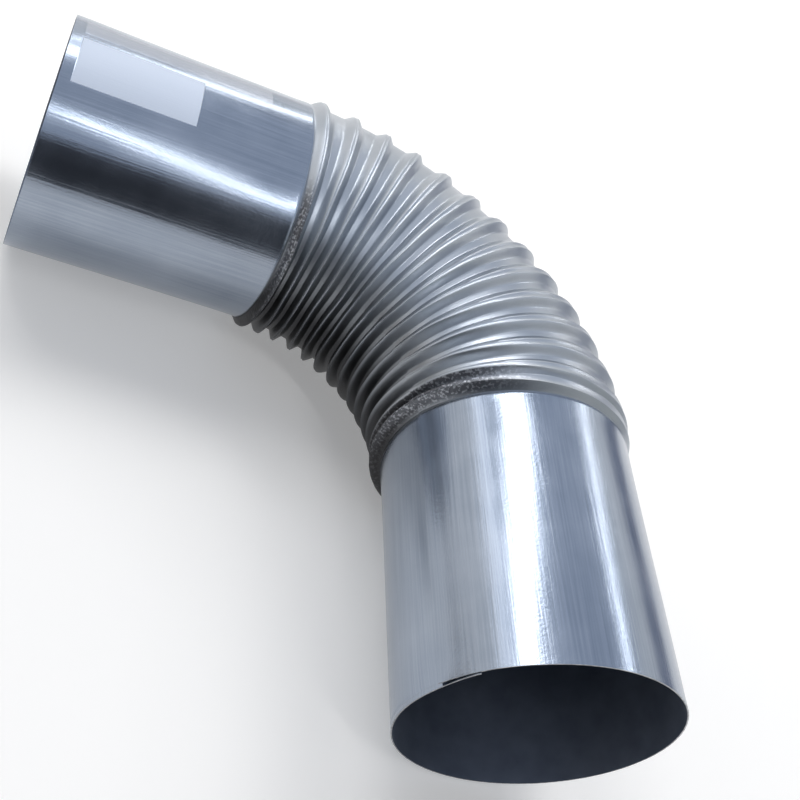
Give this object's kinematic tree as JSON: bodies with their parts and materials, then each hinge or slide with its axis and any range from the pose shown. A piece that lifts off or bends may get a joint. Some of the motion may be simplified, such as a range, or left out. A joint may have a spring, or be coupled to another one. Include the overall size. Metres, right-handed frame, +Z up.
{
  "type": "galvanized pipe elbow",
  "caption": "Quarter-bend duct elbow of thin galvanized sheet, pleated through the bend, with a plain round tube at each end and a lap seam along its whole length.",
  "frame": {"origin": "centre of the inlet's open end", "axes": "+Y into the inlet tube, -X out of the outlet tube, +Z up, square to the plane of the bend, as the elbow lies on its side"},
  "size_m": [0.2903, 0.2945, 0.1176],
  "materials": {
    "galvanized_steel": "hot-dip galvanized sheet, satin, with a faint lengthwise rolling grain and dull scuffed zinc on the end beads"
  },
  "bodies": {
    "root": {"pipe_elbow": "galvanized_steel"}
  },
  "joints": []
}
